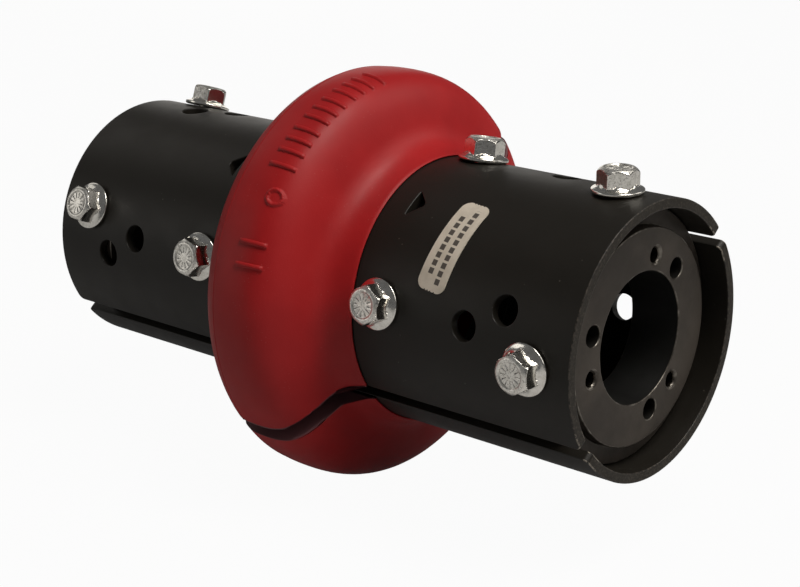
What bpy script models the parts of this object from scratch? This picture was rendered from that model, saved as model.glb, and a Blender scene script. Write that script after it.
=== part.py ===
"""Split-tyre spacer coupling: two urethane half tyres on four steel shoes, screwed round two bushing hubs.

The shaft axis is X, the middle of the tyre is at the origin, and all sizes are in metres.
Angles go round the axis from +Y towards +Z.
"""

import math

import bmesh
import bpy
from mathutils import Matrix, Vector

# Hubs, bored with a taper for a split bushing
HUB_BORE_RADIUS = 0.01735
HUB_BORE_TAPER = 0.0005
HUB_WALL = 0.01635
HUB_SHOULDER = 0.0051
HUB_NOSE_HEIGHT = 0.0033
HUB_RIM_WIDTH = 0.0110
HUB_SCREW_LINE = 0.0049
HUB_EDGE = 0.0005
BOLTS_FROM_BORE = 0.00405
BUSHING_HOLES = 3
PLAIN_HOLE_RADIUS = 0.00275
TAPPED_HOLE_RADIUS = 0.0024
PLAIN_HOLE_TURN = math.radians(-35.7)
TAPPED_HOLE_TURN = math.radians(-5.7)

# Shoes: half tubes of rolled sheet, which reach past the hubs
SHEET = 0.0027
SHOE_END = 0.0945
HUB_RECESS = 0.0046
SHOE_CORNER_RADIUS = 0.0016
CORNER_STEPS = 5
SPLIT_ANGLE = math.radians(36.7)
SHOE_SPLIT_GAP = 0.0041

# Hex flange screws
SHANK_RADIUS = 0.0031
SCREW_LENGTH = 0.0127
ACROSS_FLATS = 0.0095
HEAD_HEIGHT = 0.0064
HEAD_CHAMFER = 0.0009
FLANGE_LIP = 0.0013
FLANGE_RIM = 0.0009
FLANGE_CONE = 0.0012
TAP_DEPTH_SPARE = 0.0008

# Tyre: its section is one curve from the crown to the flank, and one from the flank to the thin foot.
# Each pull is how far a curve keeps its direction at that end.
TYRE_RISE = 0.0213
TYRE_HALF_WIDTH = 0.0152
TYRE_FLANK_RISE = 0.0084
TYRE_FLANK_LEAN = math.radians(15.6)
TYRE_CROWN_PULL = 0.0086
TYRE_SHOULDER_PULL = 0.0120
TYRE_NECK_PULL = 0.0060
TYRE_FOOT_PULL = 0.0055
TYRE_FOOT_SLOPE = math.radians(15.6)
TYRE_FOOT_LENGTH = 0.0095
TYRE_LIP = 0.00025
TYRE_ARCH_POWERS = (2.4, 2.2)
TYRE_CROWN_WALL = 0.0080
TYRE_SIDE_WALL = 0.0032
TYRE_SPLIT_GAP = 0.0046

# Stiffening rings inside the shoes, next to the tyre
RING_WIDTH = 0.0110
RING_WALL = 0.0075

# Rows of screw holes: steps along the shaft, and turn from the quarter lines.
# Every row has a hole on each line, and the line underneath is left without screws.
FIRST_QUARTER = SPLIT_ANGLE + math.radians(44)
QUARTERS = 4
EMPTY_LINE = 3
HOLE_STAGGER = math.radians(10)
FLANGE_TO_TYRE = 0.0020
SPARE_ROW_STEP_OUT = 0.0084
SPARE_ROW_STEP_IN = 0.0117

# Punched triangular window, beside the tyre and halfway between two lines of screws
WINDOW_FROM_TYRE = 0.0073
WINDOW_LENGTH = 0.0034
WINDOW_HALF_WIDTH = 0.0038

# Label on the upper front shoe
LABEL_FROM_TYRE = 0.0261
LABEL_ANGLE = math.radians(140.5)
LABEL_LENGTH = 0.0262
LABEL_WIDTH = 0.0090
LABEL_CORNER = 0.0025
LABEL_TILT = math.radians(-7)
LABEL_THICKNESS = 0.0002

# Clearances
SEAT = 0.0003
BOND = 0.00025
HOLE_CLEARANCE = 0.0007
THREAD_CLEARANCE = 0.0003
LABEL_CLEARANCE = 0.0002

# Mesh fineness
RING_STEPS = 48
CROWN_STEPS = 6
NECK_STEPS = 5
HOLE_SIDES = 16
SCREW_SIDES = 18
SHANK_SIDES = 10
SHARP = math.radians(30)

# Radii, from the bore outwards
BOLT_CIRCLE_RADIUS = HUB_BORE_RADIUS + BOLTS_FROM_BORE
HUB_RADIUS = HUB_BORE_RADIUS + HUB_WALL
HUB_NOSE_RADIUS = HUB_RADIUS - HUB_SHOULDER
SHOE_INNER_RADIUS = HUB_RADIUS + SEAT
SHOE_OUTER_RADIUS = SHOE_INNER_RADIUS + SHEET
SCREW_SEAT = SHOE_OUTER_RADIUS + SEAT
TYRE_RADIUS = SHOE_OUTER_RADIUS + TYRE_RISE
RING_INNER_RADIUS = HUB_RADIUS - RING_WALL
HEAD_CORNER_RADIUS = ACROSS_FLATS / math.sqrt(3)
FLANGE_RADIUS = HEAD_CORNER_RADIUS + FLANGE_LIP
HOLE_RADIUS = SHANK_RADIUS + HOLE_CLEARANCE
TAPPED_RADIUS = SHANK_RADIUS + THREAD_CLEARANCE

# Places along the shaft, from the middle of the tyre
TYRE_FOOT_END = TYRE_HALF_WIDTH + TYRE_FOOT_LENGTH
SHOE_START = TYRE_HALF_WIDTH - TYRE_SIDE_WALL
RING_ROW = TYRE_FOOT_END + FLANGE_TO_TYRE + FLANGE_RADIUS
WINDOW_BASE = TYRE_FOOT_END + WINDOW_FROM_TYRE
LABEL_MIDDLE = TYRE_FOOT_END + LABEL_FROM_TYRE
HUB_NOSE_FACE = SHOE_END - HUB_RECESS
HUB_RIM_FACE = HUB_NOSE_FACE - HUB_NOSE_HEIGHT
HUB_BACK_FACE = HUB_RIM_FACE - HUB_RIM_WIDTH
HUB_ROW = HUB_RIM_FACE - HUB_SCREW_LINE
SPARE_ROW_OUT = HUB_ROW - SPARE_ROW_STEP_OUT
SPARE_ROW_IN = SPARE_ROW_OUT - SPARE_ROW_STEP_IN
REACH = 2 * SHOE_END


def clear_scene():
    for obj in list(bpy.data.objects):
        bpy.data.objects.remove(obj, do_unlink=True)


def new_collection(name, hidden=False):
    collection = bpy.data.collections.new(name)
    collection.hide_render = hidden
    bpy.context.scene.collection.children.link(collection)
    return collection


def new_material(name, colour, roughness, metallic):
    material = bpy.data.materials.new(name)
    material.use_nodes = True
    shader = material.node_tree.nodes["Principled BSDF"]
    shader.inputs["Base Color"].default_value = (*colour, 1)
    shader.inputs["Roughness"].default_value = roughness
    shader.inputs["Metallic"].default_value = metallic
    material.diffuse_color = (*colour, 1)
    return material


def add_object(name, mesh, collection, material=None):
    obj = bpy.data.objects.new(name, mesh)
    collection.objects.link(obj)
    if material:
        mesh.materials.clear()
        mesh.materials.append(material)
    return obj


def mesh_from(name, work):
    mesh = bpy.data.meshes.new(name)
    work.to_mesh(mesh)
    work.free()
    return mesh


def profile_mesh(name, points):
    """Closed outline of (x, radius) points, ready to be turned round X."""
    work = bmesh.new()
    corners = [work.verts.new((x, 0, radius)) for x, radius in points]
    for first, second in zip(corners, corners[1:] + corners[:1]):
        work.edges.new((first, second))
    return mesh_from(name, work)


def turned(name, points, collection, material=None, steps=RING_STEPS):
    """Solid of revolution round X. The outline runs towards -X on its outer side."""
    obj = add_object(name, profile_mesh(name, points), collection, material)
    screw = obj.modifiers.new("Turn", "SCREW")
    screw.axis = "X"
    screw.steps = screw.render_steps = steps
    screw.use_merge_vertices = True
    screw.merge_threshold = 0.00001
    return obj


def boolean(obj, cutter, operation="DIFFERENCE"):
    modifier = obj.modifiers.new(operation.title(), "BOOLEAN")
    modifier.operation = operation
    modifier.object = cutter
    modifier.solver = "EXACT"


def box_mesh(name, low, high, rounded=None, radius=0.0):
    """Box between two corners. rounded(midpoint, direction) picks the edges that get the radius."""
    work = bmesh.new()
    size = Vector(high) - Vector(low)
    middle = (Vector(high) + Vector(low)) / 2
    bmesh.ops.create_cube(work, size=1.0, matrix=Matrix.Translation(middle) @ Matrix.Diagonal((*size, 1)))
    if rounded:
        edges = [
            edge
            for edge in work.edges
            if rounded((edge.verts[0].co + edge.verts[1].co) / 2, edge.verts[1].co - edge.verts[0].co)
        ]
        bmesh.ops.bevel(work, geom=edges, offset=radius, segments=CORNER_STEPS, affect="EDGES", profile=0.5)
    return mesh_from(name, work)


def prism_into(work, outline, bottom, top, place):
    """Adds an upright prism of (x, y) points between two heights to a bmesh, moved by a matrix."""
    low = [work.verts.new(place @ Vector((x, y, bottom))) for x, y in outline]
    high = [work.verts.new(place @ Vector((x, y, top))) for x, y in outline]
    work.faces.new(list(reversed(low)))
    work.faces.new(high)
    for i in range(len(outline)):
        j = (i + 1) % len(outline)
        work.faces.new((low[i], low[j], high[j], high[i]))


def circle(radius, sides=HOLE_SIDES):
    return [
        (radius * math.cos(2 * math.pi * i / sides), radius * math.sin(2 * math.pi * i / sides))
        for i in range(sides)
    ]


def radial_place(x, angle):
    """Stands a shape's Z axis out from the shaft axis at this angle, with its X axis along the shaft."""
    return Matrix.Translation((x, 0, 0)) @ Matrix.Rotation(angle - math.pi / 2, 4, "X")


def axial_place(radius, angle, outward):
    """Lays a shape's Z axis along the shaft, off the axis by a radius."""
    offset = Vector((0, radius * math.cos(angle), radius * math.sin(angle)))
    return Matrix.Translation(offset) @ Matrix.Rotation(outward * math.pi / 2, 4, "Y")


def quarter_angles(stagger=0.0):
    return [FIRST_QUARTER + stagger + i * 2 * math.pi / QUARTERS for i in range(QUARTERS)]


def screw_rows(end):
    """Rows of screws at one end: name, distance from the middle, angles."""
    return (
        ("ring_screw", end * RING_ROW, quarter_angles()),
        ("hub_screw", end * HUB_ROW, quarter_angles(end * HOLE_STAGGER)),
    )


def shoe_holes(end):
    """Every round hole at one end, used or spare."""
    rows = [(x, angles) for _, x, angles in screw_rows(end)]
    rows.append((end * SPARE_ROW_IN, quarter_angles()))
    rows.append((end * SPARE_ROW_OUT, quarter_angles(-end * HOLE_STAGGER)))
    return rows


def curve_points(start, start_pull, end_pull, end, steps):
    """Points of a cubic curve between two points, after the first."""
    made = []
    for i in range(1, steps + 1):
        t = i / steps
        weights = ((1 - t) ** 3, 3 * t * (1 - t) ** 2, 3 * t * t * (1 - t), t ** 3)
        corners = (start, start + start_pull, end + end_pull, end)
        made.append(sum((weight * corner for weight, corner in zip(weights, corners)), Vector((0, 0))))
    return made


def tyre_outline():
    """Section of the tyre: rounded crown, leaning flank, concave neck, tapered foot, and the arch inside."""
    foot_bottom = SHOE_OUTER_RADIUS + BOND
    crown = Vector((0, TYRE_RADIUS))
    flank = Vector((TYRE_HALF_WIDTH, SHOE_OUTER_RADIUS + TYRE_FLANK_RISE))
    foot = Vector((TYRE_FOOT_END, foot_bottom + TYRE_LIP))
    down_flank = Vector((math.sin(TYRE_FLANK_LEAN), -math.cos(TYRE_FLANK_LEAN)))
    up_foot = Vector((-math.cos(TYRE_FOOT_SLOPE), math.sin(TYRE_FOOT_SLOPE)))
    crown_pull = Vector((TYRE_CROWN_PULL, 0))
    right = [crown]
    right += curve_points(crown, crown_pull, -down_flank * TYRE_SHOULDER_PULL, flank, CROWN_STEPS)
    right += curve_points(flank, down_flank * TYRE_NECK_PULL, up_foot * TYRE_FOOT_PULL, foot, NECK_STEPS)
    right.append(Vector((TYRE_FOOT_END, foot_bottom)))
    arch_height = TYRE_RADIUS - TYRE_CROWN_WALL - foot_bottom
    across, up = TYRE_ARCH_POWERS
    inside = []
    for i in range(CROWN_STEPS + 1):
        turn = math.pi / 2 * i / CROWN_STEPS
        x = SHOE_START * math.cos(turn) ** (2 / across)
        inside.append((x, foot_bottom + arch_height * math.sin(turn) ** (2 / up)))
    left = [(-x, radius) for x, radius in reversed(right[1:])]
    left_inside = [(-x, radius) for x, radius in inside[:-1]]
    outline = left + right + inside + list(reversed(left_inside))
    return list(reversed(outline))


def half_space(name, sign, gap, collection, start=-REACH, end=REACH, corner=None):
    """Box on one side of the split plane. corner is the end whose edges along the plane are rounded."""
    low = (start, -REACH, gap / 2)
    high = (end, REACH, REACH)

    def on_corner(middle, direction):
        along_plane = abs(direction.y) > abs(direction.x) + abs(direction.z)
        return along_plane and middle.z < REACH / 2 and abs(middle.x - corner) < SHEET

    mesh = box_mesh(name, low, high, on_corner if corner else None, SHOE_CORNER_RADIUS)
    turn = SPLIT_ANGLE if sign > 0 else SPLIT_ANGLE + math.pi
    mesh.transform(Matrix.Rotation(turn, 4, "X"))
    return add_object(name, mesh, collection)


def make_tyre_half(name, sign, collection, cutters, material):
    tyre = turned(name, tyre_outline(), collection, material)
    boolean(tyre, half_space(name + "_side", sign, TYRE_SPLIT_GAP, cutters), "INTERSECT")
    return tyre


def tube_outline(start, end, inner, outer):
    return [(end, outer), (start, outer), (start, inner), (end, inner)]


def make_hole_cutters(cutters):
    """One cutter for each end, with every hole and window of the shoes there."""
    made = {}
    for end, end_name in ((1, "front"), (-1, "rear")):
        work = bmesh.new()
        inner, outer = SHOE_INNER_RADIUS - SHEET, SHOE_OUTER_RADIUS + SHEET
        for x, angles in shoe_holes(end):
            for angle in angles:
                prism_into(work, circle(HOLE_RADIUS), inner, outer, radial_place(x, angle))
        window = [
            (end * WINDOW_BASE, -WINDOW_HALF_WIDTH),
            (end * (WINDOW_BASE + WINDOW_LENGTH), 0),
            (end * WINDOW_BASE, WINDOW_HALF_WIDTH),
        ]
        if end < 0:
            window.reverse()
        for side in (0, math.pi):
            place = radial_place(0, FIRST_QUARTER + math.pi / QUARTERS + side)
            prism_into(work, window, inner, outer, place)
        name = end_name + "_shoe_punch"
        made[end] = add_object(name, mesh_from(name, work), cutters)
    return made


def make_shoe(name, end, sign, collection, cutters, punch, material):
    start, stop = sorted((end * SHOE_START, end * SHOE_END))
    outline = tube_outline(start, stop, SHOE_INNER_RADIUS, SHOE_OUTER_RADIUS)
    shoe = turned(name, outline, collection, material)
    low, high = (start - SHEET, stop) if end > 0 else (start, stop + SHEET)
    side = half_space(name + "_side", sign, SHOE_SPLIT_GAP, cutters, low, high, end * SHOE_END)
    boolean(shoe, side, "INTERSECT")
    boolean(shoe, punch)
    return shoe


def hub_outline(end):
    nose, rim, back = HUB_NOSE_FACE, HUB_RIM_FACE, HUB_BACK_FACE
    small_bore = HUB_BORE_RADIUS - HUB_BORE_TAPER
    points = [
        (nose, HUB_BORE_RADIUS),
        (nose, HUB_NOSE_RADIUS - HUB_EDGE),
        (nose - HUB_EDGE, HUB_NOSE_RADIUS),
        (rim, HUB_NOSE_RADIUS),
        (rim, HUB_RADIUS - HUB_EDGE),
        (rim - HUB_EDGE, HUB_RADIUS),
        (back + HUB_EDGE, HUB_RADIUS),
        (back, HUB_RADIUS - HUB_EDGE),
        (back, small_bore),
    ]
    return points if end > 0 else [(-x, radius) for x, radius in reversed(points)]


def tapped_hole(work, x, angle):
    bottom = SCREW_SEAT - SCREW_LENGTH - TAP_DEPTH_SPARE
    prism_into(work, circle(TAPPED_RADIUS), bottom, SHOE_OUTER_RADIUS, radial_place(x, angle))


def make_hub(name, end, collection, cutters, material):
    """Disc with its bushing holes set between the screws, as a twin turned end for end at the rear."""
    hub = turned(name, hub_outline(end), collection, material)
    work = bmesh.new()
    _, x, angles = screw_rows(end)[1]
    for angle in angles:
        tapped_hole(work, x, angle)
    for i in range(BUSHING_HOLES):
        step = i * 2 * math.pi / BUSHING_HOLES
        for radius, turn in (
            (PLAIN_HOLE_RADIUS, PLAIN_HOLE_TURN),
            (TAPPED_HOLE_RADIUS, TAPPED_HOLE_TURN),
        ):
            place = axial_place(BOLT_CIRCLE_RADIUS, FIRST_QUARTER + end * (turn + step), end)
            prism_into(work, circle(radius), HUB_BACK_FACE - HUB_RIM_WIDTH, SHOE_END, place)
    cutter_name = name + "_drill"
    boolean(hub, add_object(cutter_name, mesh_from(cutter_name, work), cutters))
    return hub


def make_ring(name, end, collection, cutters, material):
    middle = end * RING_ROW
    outline = tube_outline(middle - RING_WIDTH / 2, middle + RING_WIDTH / 2, RING_INNER_RADIUS, HUB_RADIUS)
    ring = turned(name, outline, collection, material)
    work = bmesh.new()
    bottom = RING_INNER_RADIUS - SHEET
    for angle in quarter_angles():
        prism_into(work, circle(TAPPED_RADIUS), bottom, SHOE_OUTER_RADIUS, radial_place(middle, angle))
    cutter_name = name + "_drill"
    boolean(ring, add_object(cutter_name, mesh_from(cutter_name, work), cutters))
    return ring


def screw_mesh(cutters, material):
    """Hex flange screw on its seat at Z 0, with its head up."""
    work = bmesh.new()
    prism_into(work, circle(SHANK_RADIUS, SHANK_SIDES), -SCREW_LENGTH, FLANGE_RIM / 2, Matrix.Identity(4))
    shank = add_object("screw_shank", mesh_from("screw_shank", work), cutters)
    work = bmesh.new()
    prism_into(work, circle(HEAD_CORNER_RADIUS, 6), FLANGE_RIM / 2, HEAD_HEIGHT, Matrix.Identity(4))
    hexagon = add_object("screw_hexagon", mesh_from("screw_hexagon", work), cutters)
    dome_outline = (
        (0, HEAD_CORNER_RADIUS + HEAD_CHAMFER),
        (HEAD_HEIGHT - HEAD_CHAMFER, HEAD_CORNER_RADIUS + HEAD_CHAMFER / 5),
        (HEAD_HEIGHT, ACROSS_FLATS / 2 - HEAD_CHAMFER / 3),
    )
    boolean(hexagon, stacked_rings("screw_dome", dome_outline, cutters), "INTERSECT")
    flange_outline = (
        (0, FLANGE_RADIUS),
        (FLANGE_RIM, FLANGE_RADIUS),
        (FLANGE_RIM + FLANGE_CONE, HEAD_CORNER_RADIUS),
    )
    flange = stacked_rings("screw_flange", flange_outline, cutters)
    boolean(flange, hexagon, "UNION")
    boolean(flange, shank, "UNION")
    bpy.context.view_layer.update()
    graph = bpy.context.evaluated_depsgraph_get()
    mesh = bpy.data.meshes.new_from_object(flange.evaluated_get(graph))
    mesh.name = "hex_flange_screw"
    mesh.materials.clear()
    mesh.materials.append(material)
    return mesh


def stacked_rings(name, outline, collection):
    """Solid lofted through circles at (height, radius) steps."""
    work = bmesh.new()
    rows = [
        [work.verts.new((x, y, height)) for x, y in circle(radius, SCREW_SIDES)]
        for height, radius in outline
    ]
    work.faces.new(list(reversed(rows[0])))
    work.faces.new(rows[-1])
    for lower, upper in zip(rows, rows[1:]):
        for i in range(SCREW_SIDES):
            j = (i + 1) % SCREW_SIDES
            work.faces.new((lower[i], lower[j], upper[j], upper[i]))
    return add_object(name, mesh_from(name, work), collection)


def make_screws(collection, mesh):
    for end, end_name in ((1, "front"), (-1, "rear")):
        for row, x, angles in screw_rows(end):
            fitted = [angle for line, angle in enumerate(angles, 1) if line != EMPTY_LINE]
            for number, angle in enumerate(fitted, 1):
                screw = add_object(f"{end_name}_{row}_{number}", mesh, collection)
                screw.matrix_world = radial_place(x, angle) @ Matrix.Translation((0, 0, SCREW_SEAT))


def make_label(collection, cutters, material):
    """Sticker that follows the shoe, cut out of a thin sleeve by a rounded block."""
    inner = SHOE_OUTER_RADIUS + LABEL_CLEARANCE
    start, stop = LABEL_MIDDLE - LABEL_LENGTH / 2, LABEL_MIDDLE + LABEL_LENGTH / 2
    outline = tube_outline(start, stop, inner, inner + LABEL_THICKNESS)
    label = turned("shoe_label", outline, collection, material)
    half_chord = SHOE_OUTER_RADIUS * math.sin(LABEL_LENGTH / 2 / SHOE_OUTER_RADIUS)

    def upright(_, direction):
        return abs(direction.z) > abs(direction.x) + abs(direction.y)

    low = (-LABEL_WIDTH / 2, -half_chord, SHOE_OUTER_RADIUS / 2)
    high = (LABEL_WIDTH / 2, half_chord, SHOE_OUTER_RADIUS + SHEET)
    mesh = box_mesh("label_block", low, high, upright, LABEL_CORNER)
    mesh.transform(radial_place(LABEL_MIDDLE, LABEL_ANGLE) @ Matrix.Rotation(LABEL_TILT, 4, "Z"))
    boolean(label, add_object("label_block", mesh, cutters), "INTERSECT")
    return label


def shade(collection):
    for obj in collection.objects:
        obj.data.shade_smooth()
        obj.data.set_sharp_from_angle(angle=SHARP)


def main():
    clear_scene()
    parts = new_collection("split_tyre_coupling")
    cutters = new_collection("cutters", hidden=True)
    red = new_material("red_urethane", (0.34, 0.018, 0.02), 0.42, 0.0)
    black = new_material("black_paint", (0.022, 0.02, 0.018), 0.45, 0.0)
    iron = new_material("machined_hub", (0.16, 0.14, 0.12), 0.5, 0.6)
    steel = new_material("ring_steel", (0.12, 0.11, 0.1), 0.5, 0.6)
    zinc = new_material("zinc_plate", (0.62, 0.6, 0.56), 0.25, 1.0)
    paper = new_material("cream_label", (0.76, 0.72, 0.64), 0.6, 0.0)

    punches = make_hole_cutters(cutters)
    for sign, side in ((1, "upper"), (-1, "lower")):
        make_tyre_half(f"{side}_tyre_half", sign, parts, cutters, red)
        for end, end_name in ((1, "front"), (-1, "rear")):
            make_shoe(f"{side}_{end_name}_shoe", end, sign, parts, cutters, punches[end], black)
    for end, end_name in ((1, "front"), (-1, "rear")):
        make_hub(f"{end_name}_hub", end, parts, cutters, iron)
        make_ring(f"{end_name}_inner_ring", end, parts, cutters, steel)
    make_screws(parts, screw_mesh(cutters, zinc))
    make_label(parts, cutters, paper)
    shade(parts)
    for cutter in cutters.objects:
        cutter.hide_render = True
        cutter.display_type = "WIRE"


main()
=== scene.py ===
"""Split-tyre shaft coupling: the looks of each piece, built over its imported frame.

The shaft lies along X, angles go round it from +Y towards +Z, and sizes are in metres.
"""

import math

import bmesh
import bpy
from mathutils import Matrix, Vector


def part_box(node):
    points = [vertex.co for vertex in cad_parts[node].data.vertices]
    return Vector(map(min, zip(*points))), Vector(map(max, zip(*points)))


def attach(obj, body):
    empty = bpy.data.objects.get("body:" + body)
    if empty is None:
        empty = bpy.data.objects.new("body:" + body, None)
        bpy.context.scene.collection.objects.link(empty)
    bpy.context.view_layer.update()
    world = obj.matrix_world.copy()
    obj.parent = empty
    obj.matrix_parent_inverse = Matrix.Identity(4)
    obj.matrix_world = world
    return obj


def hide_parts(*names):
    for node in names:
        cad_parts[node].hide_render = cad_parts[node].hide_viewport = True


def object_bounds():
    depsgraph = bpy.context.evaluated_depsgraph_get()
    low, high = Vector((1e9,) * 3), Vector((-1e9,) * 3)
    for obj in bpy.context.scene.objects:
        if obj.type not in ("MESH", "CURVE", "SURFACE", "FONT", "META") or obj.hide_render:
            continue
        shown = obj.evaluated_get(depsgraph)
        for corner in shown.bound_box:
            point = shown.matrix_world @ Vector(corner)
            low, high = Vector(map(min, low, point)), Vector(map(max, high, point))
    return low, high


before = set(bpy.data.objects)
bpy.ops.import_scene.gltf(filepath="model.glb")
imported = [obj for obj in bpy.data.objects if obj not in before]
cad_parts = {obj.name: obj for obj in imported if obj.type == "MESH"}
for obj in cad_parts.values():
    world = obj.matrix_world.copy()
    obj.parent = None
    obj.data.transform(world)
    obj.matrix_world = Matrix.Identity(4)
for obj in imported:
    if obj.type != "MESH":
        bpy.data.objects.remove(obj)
cad_low, cad_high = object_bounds()
bpy.ops.object.select_all(action="DESELECT")

# Studio
# The coupling stands on its tyre over a white sheet, under a high lamp off the end of its front shaft,
# with weaker lamps round it. The white comes from the floor and the world, and not from more light.
CAMERA_PLACE = (0.3353, -0.3704, 0.1469)
CAMERA_AZIMUTH = math.radians(41.385)
CAMERA_ELEVATION = math.radians(17.063)
CAMERA_LENS = 82.67
CAMERA_SENSOR = 36.0
FLOOR_SIZE = 6.0
FLOOR_COLOUR = (0.5, 0.5, 0.5)
FLOOR_ROUGHNESS = 0.9
SEEN_GLOW = 0.96
SKY_GLOW = 1.0
MIRRORED_GLOW = 0.09
AMBIENT = 0.014
LAMP_DISTANCE = 1.0
LAMP_SIZE = 0.45
LAMP_COLOUR = (1.0, 0.96, 0.90)
LAMPS = {
    "high_front_lamp": {"heading": 0, "height": 64, "watts": 6.0},
    "front_lamp": {"heading": 0, "height": 35, "watts": 1.5},
    "right_lamp": {"heading": 50, "height": 35, "watts": 1.2},
    "back_lamp": {"heading": 135, "height": 10, "watts": 0.6},
    "rear_lamp": {"heading": 180, "height": 35, "watts": 0.35},
    "left_lamp": {"heading": 225, "height": 12, "watts": 0.60},
}


class Wire:
    """A node's output in one finish. Sums on wires and numbers add their own Math nodes."""

    def __init__(self, finish, socket):
        self.finish = finish
        self.socket = socket

    def math(self, operation, other=0.0, first=True):
        values = (self, other) if first else (other, self)
        return self.finish.node("ShaderNodeMath", {"operation": operation}, *values)

    def __add__(self, other):
        return self.math("ADD", other)

    def __radd__(self, other):
        return self.math("ADD", other)

    def __sub__(self, other):
        return self.math("SUBTRACT", other)

    def __rsub__(self, other):
        return self.math("SUBTRACT", other, first=False)

    def __mul__(self, other):
        return self.math("MULTIPLY", other)

    def __rmul__(self, other):
        return self.math("MULTIPLY", other)

    def __truediv__(self, other):
        return self.math("DIVIDE", other)

    def size(self):
        return self.math("ABSOLUTE")

    def over(self, edge, width):
        """0 below an edge, rising to 1 across a width."""
        settings = {"interpolation_type": "SMOOTHSTEP"}
        return self.finish.node("ShaderNodeMapRange", settings, self, edge, edge + width, 0.0, 1.0)

    def under(self, edge, width):
        """The other way round: 1 below an edge, falling to 0."""
        return 1 - self.over(edge, width)


class Finish:
    """A material that is built up round its shader, one node at a time."""

    def __init__(self, name):
        self.material = bpy.data.materials.new(name)
        self.material.use_nodes = True
        self.nodes = self.material.node_tree.nodes
        self.links = self.material.node_tree.links
        self.shader = self.nodes["Principled BSDF"]

    def fill(self, socket, value):
        if isinstance(value, Wire):
            self.links.new(value.socket, socket)
        elif socket.type == "RGBA":
            socket.default_value = (*value, 1.0)
        else:
            socket.default_value = value

    def node(self, kind, settings, *values, output=0, **named):
        """Adds a node with its settings, fills its sockets in order or by name, and gives one output."""
        made = self.nodes.new(kind)
        for key, value in settings.items():
            setattr(made, key, value)
        sockets = [socket for socket in made.inputs if socket.enabled]
        for socket, value in zip(sockets, values):
            self.fill(socket, value)
        for key, value in named.items():
            self.fill(made.inputs[key.replace("_", " ")], value)
        outputs = [socket for socket in made.outputs if socket.enabled]
        return Wire(self, outputs[output])

    def place(self):
        return self.node("ShaderNodeTexCoord", {}, output=3)

    def along(self, axis):
        """Distance along X, Y or Z, as 0, 1 or 2."""
        return self.node("ShaderNodeSeparateXYZ", {}, self.place(), output=axis)

    def radius(self):
        """Distance from the shaft axis."""
        y, z = self.along(1), self.along(2)
        return (y * y + z * z).math("SQRT")

    def split_distance(self):
        """Distance from the plane that the coupling is split at."""
        return (self.along(1) * split_normal.y + self.along(2) * split_normal.z).size()

    def noise(self, scale, detail=3.0, rough=0.5):
        """Cloudy pattern, about 0.5 all over. Scale is in lumps to the metre."""
        values = {"Scale": scale, "Detail": detail, "Roughness": rough}
        return self.node("ShaderNodeTexNoise", {}, Vector=self.place(), **values)

    def specks(self, scale, size):
        """Round specks: 1 within a share of each cell's middle."""
        near = self.node("ShaderNodeTexVoronoi", {}, Vector=self.place(), Scale=scale, Randomness=1.0)
        return near.under(size, size / 2)

    def mix(self, share, low, high):
        return self.node("ShaderNodeMix", {"data_type": "RGBA"}, share, low, high)

    def bump(self, height, distance, strength=1.0, under=None):
        values = {"Strength": strength, "Distance": distance, "Height": height}
        if under:
            values["Normal"] = under
        return self.node("ShaderNodeBump", {}, **values)

    def surface(self, **values):
        """Fills the shader's own sockets."""
        for key, value in values.items():
            self.fill(self.shader.inputs[key.replace("_", " ")], value)
        return self.material


def glow_for_camera(tree, shader, output, share_seen, share_mirrored):
    """Mixes a white glow over a shader, for what the camera sees and for what shiny faces mirror."""
    path = tree.nodes.new("ShaderNodeLightPath")
    glow = tree.nodes.new("ShaderNodeEmission")
    total = None
    for ray, share in (
        ("Is Camera Ray", share_seen),
        ("Is Glossy Ray", share_mirrored),
        ("Is Transmission Ray", share_mirrored),
    ):
        part = tree.nodes.new("ShaderNodeMath")
        part.operation = "MULTIPLY_ADD"
        tree.links.new(path.outputs[ray], part.inputs[0])
        part.inputs[1].default_value = share
        part.inputs[2].default_value = 0
        if total:
            tree.links.new(total.outputs[0], part.inputs[2])
        total = part
    blend = tree.nodes.new("ShaderNodeMixShader")
    tree.links.new(total.outputs[0], blend.inputs[0])
    tree.links.new(shader.outputs[0], blend.inputs[1])
    tree.links.new(glow.outputs[0], blend.inputs[2])
    tree.links.new(blend.outputs[0], output.inputs["Surface"])


bpy.ops.mesh.primitive_plane_add(size=FLOOR_SIZE, location=(0, 0, cad_low.z))
floor = bpy.context.object
floor.name = "floor"
white = Finish("white_sheet")
white.surface(Base_Color=FLOOR_COLOUR, Roughness=FLOOR_ROUGHNESS)
sheet_output = white.nodes["Material Output"]
glow_for_camera(white.material.node_tree, white.shader, sheet_output, SEEN_GLOW, MIRRORED_GLOW)
floor.data.materials.append(white.material)

world = bpy.data.worlds.new("studio")
world.use_nodes = True
bpy.context.scene.world = world
air = world.node_tree.nodes["Background"]
air.inputs["Color"].default_value = (1, 1, 1, 1)
air.inputs["Strength"].default_value = AMBIENT
glow_for_camera(world.node_tree, air, world.node_tree.nodes["World Output"], SKY_GLOW, MIRRORED_GLOW)

for lamp_name, lamp in LAMPS.items():
    heading, height = math.radians(lamp["heading"]), math.radians(lamp["height"])
    level = math.cos(height)
    towards = Vector((math.cos(heading) * level, math.sin(heading) * level, math.sin(height)))
    bpy.ops.object.light_add(type="AREA", location=towards * LAMP_DISTANCE)
    light = bpy.context.object
    light.name = lamp_name
    light.data.size = LAMP_SIZE
    light.data.energy = lamp["watts"]
    light.data.color = LAMP_COLOUR
    light.rotation_euler = (-towards).to_track_quat("-Z", "Y").to_euler()

camera_turn = (math.pi / 2 - CAMERA_ELEVATION, 0, CAMERA_AZIMUTH)
bpy.ops.object.camera_add(location=CAMERA_PLACE, rotation=camera_turn)
camera = bpy.context.object
camera.data.lens = CAMERA_LENS
camera.data.sensor_width = CAMERA_SENSOR
bpy.context.scene.camera = camera
bpy.context.scene.view_settings.view_transform = "Standard"

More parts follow.
